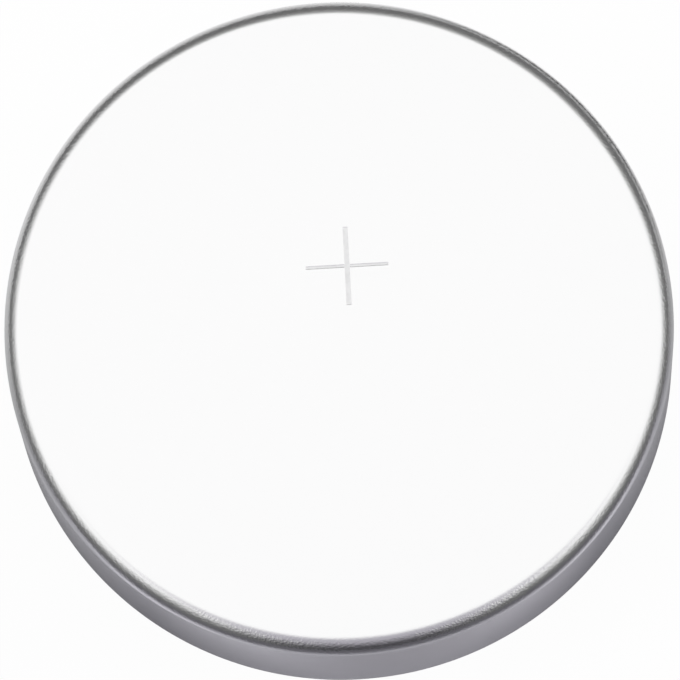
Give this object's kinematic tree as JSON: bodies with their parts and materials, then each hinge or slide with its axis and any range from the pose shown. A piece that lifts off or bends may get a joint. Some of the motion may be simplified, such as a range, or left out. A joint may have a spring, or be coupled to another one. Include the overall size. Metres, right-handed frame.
{
  "type": "lithium coin cell",
  "caption": "Round crimped coin cell with a flat positive can face, a raised negative face on the other side, a plastic sealing ring between them and a stacked electrode pack inside.",
  "frame": {"origin": "centre of the negative face, which the cell stands on", "axes": "+Z along the cell's axis, from the negative face to the positive face; +X towards the inner positive strip"},
  "size_m": [0.016, 0.016, 0.0048],
  "materials": {
    "can_steel": "satin nickel plate",
    "cap_steel": "satin nickel plate",
    "gasket_plastic": "moulded, milky",
    "spring_steel": "bright",
    "spacer_steel": "satin",
    "nickel_strip": "rolled strip",
    "aluminium_strip": "rolled strip",
    "film": "clear amber film",
    "anode_coating": "matte graphite on copper foil",
    "cathode_coating": "matte coating on aluminium foil",
    "separator_film": "matte white film"
  },
  "bodies": {
    "root": {"positive_can": "can_steel", "sealing_gasket": "gasket_plastic", "negative_cap": "cap_steel", "contact_spring": "spring_steel", "spacer_disc": "spacer_steel", "negative_strip": "nickel_strip", "positive_strip": "aluminium_strip", "top_insulator": "film", "stack_wrap": "film", "anode_disc_1": "anode_coating", "anode_disc_2": "anode_coating", "anode_disc_3": "anode_coating", "anode_disc_4": "anode_coating", "anode_disc_5": "anode_coating", "anode_disc_6": "anode_coating", "anode_disc_7": "anode_coating", "cathode_disc_1": "cathode_coating", "cathode_disc_2": "cathode_coating", "cathode_disc_3": "cathode_coating", "cathode_disc_4": "cathode_coating", "cathode_disc_5": "cathode_coating", "cathode_disc_6": "cathode_coating", "separator_disc_1": "separator_film", "separator_disc_2": "separator_film", "separator_disc_3": "separator_film", "separator_disc_4": "separator_film", "separator_disc_5": "separator_film", "separator_disc_6": "separator_film", "separator_disc_7": "separator_film", "separator_disc_8": "separator_film", "separator_disc_9": "separator_film", "separator_disc_10": "separator_film", "separator_disc_11": "separator_film", "separator_disc_12": "separator_film"}
  },
  "joints": []
}
